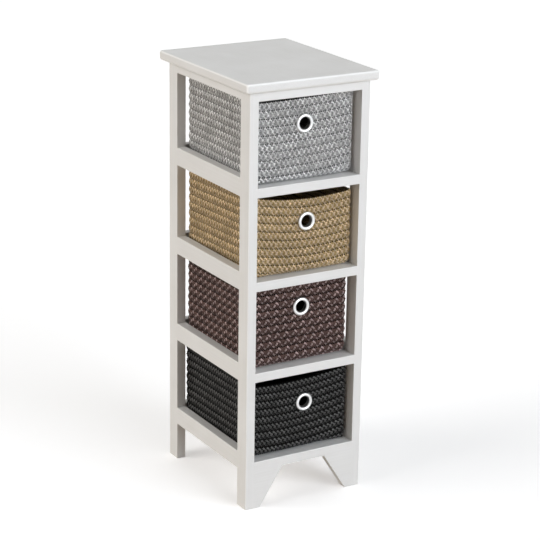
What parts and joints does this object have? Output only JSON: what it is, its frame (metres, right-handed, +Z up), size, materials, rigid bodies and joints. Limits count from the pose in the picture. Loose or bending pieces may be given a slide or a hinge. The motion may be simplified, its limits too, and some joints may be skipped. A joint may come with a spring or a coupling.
{
  "type": "bathroom shelf unit",
  "caption": "Slim open-sided wooden shelf unit with an overhanging top, tapered front feet and braided pull-out baskets with eyelet finger pulls.",
  "frame": {"origin": "on the floor under the middle of the top panel", "axes": "+Z up, the front with the baskets faces -Y, +X to the right seen from the front"},
  "size_m": [0.272, 0.33, 0.8],
  "materials": {
    "white_lacquer": "smooth white satin lacquer over wood",
    "dowel_wood": "raw fluted beech",
    "screw_steel": "zinc plated",
    "braid_grey": "grey sewn braid with a slight sheen",
    "braid_natural": "straw-coloured sewn braid with a slight sheen",
    "braid_brown": "dark brown sewn braid with a slight sheen",
    "braid_black": "black sewn braid with a slight sheen",
    "eyelet_metal": "bright nickel plate"
  },
  "bodies": {
    "frame": {"front_foot_rail": "white_lacquer", "front_left_post": "white_lacquer", "front_rail_2": "white_lacquer", "front_rail_3": "white_lacquer", "front_rail_4": "white_lacquer", "front_rail_dowels": "dowel_wood", "front_right_post": "white_lacquer", "front_top_rail": "white_lacquer", "left_side_rail_1": "white_lacquer", "left_side_rail_2": "white_lacquer", "left_side_rail_3": "white_lacquer", "left_side_rail_4": "white_lacquer", "left_top_rail": "white_lacquer", "rear_left_post": "white_lacquer", "rear_rail_1": "white_lacquer", "rear_rail_2": "white_lacquer", "rear_rail_3": "white_lacquer", "rear_rail_4": "white_lacquer", "rear_rail_dowels": "dowel_wood", "rear_right_post": "white_lacquer", "rear_top_rail": "white_lacquer", "right_side_rail_1": "white_lacquer", "right_side_rail_2": "white_lacquer", "right_side_rail_3": "white_lacquer", "right_side_rail_4": "white_lacquer", "right_top_rail": "white_lacquer", "shelf_panel_1": "white_lacquer", "shelf_panel_2": "white_lacquer", "shelf_panel_3": "white_lacquer", "shelf_panel_4": "white_lacquer", "side_rail_dowels": "dowel_wood", "top_panel": "white_lacquer", "top_screws": "screw_steel"},
    "black_drawer": {"black_basket": "braid_black", "black_eyelet": "eyelet_metal", "black_eyelet_washer": "eyelet_metal"},
    "brown_drawer": {"brown_basket": "braid_brown", "brown_eyelet": "eyelet_metal", "brown_eyelet_washer": "eyelet_metal"},
    "natural_drawer": {"natural_basket": "braid_natural", "natural_eyelet": "eyelet_metal", "natural_eyelet_washer": "eyelet_metal"},
    "grey_drawer": {"grey_basket": "braid_grey", "grey_eyelet": "eyelet_metal", "grey_eyelet_washer": "eyelet_metal"}
  },
  "joints": [
    {"name": "grey_basket_slide", "type": "slide", "parent": "frame", "child": "grey_drawer", "axis": [0, -1, 0], "range_m": [0, 0.3]},
    {"name": "natural_basket_slide", "type": "slide", "parent": "frame", "child": "natural_drawer", "axis": [0, -1, 0], "range_m": [0, 0.3]},
    {"name": "brown_basket_slide", "type": "slide", "parent": "frame", "child": "brown_drawer", "axis": [0, -1, 0], "range_m": [0, 0.3]},
    {"name": "black_basket_slide", "type": "slide", "parent": "frame", "child": "black_drawer", "axis": [0, -1, 0], "range_m": [0, 0.3]}
  ]
}
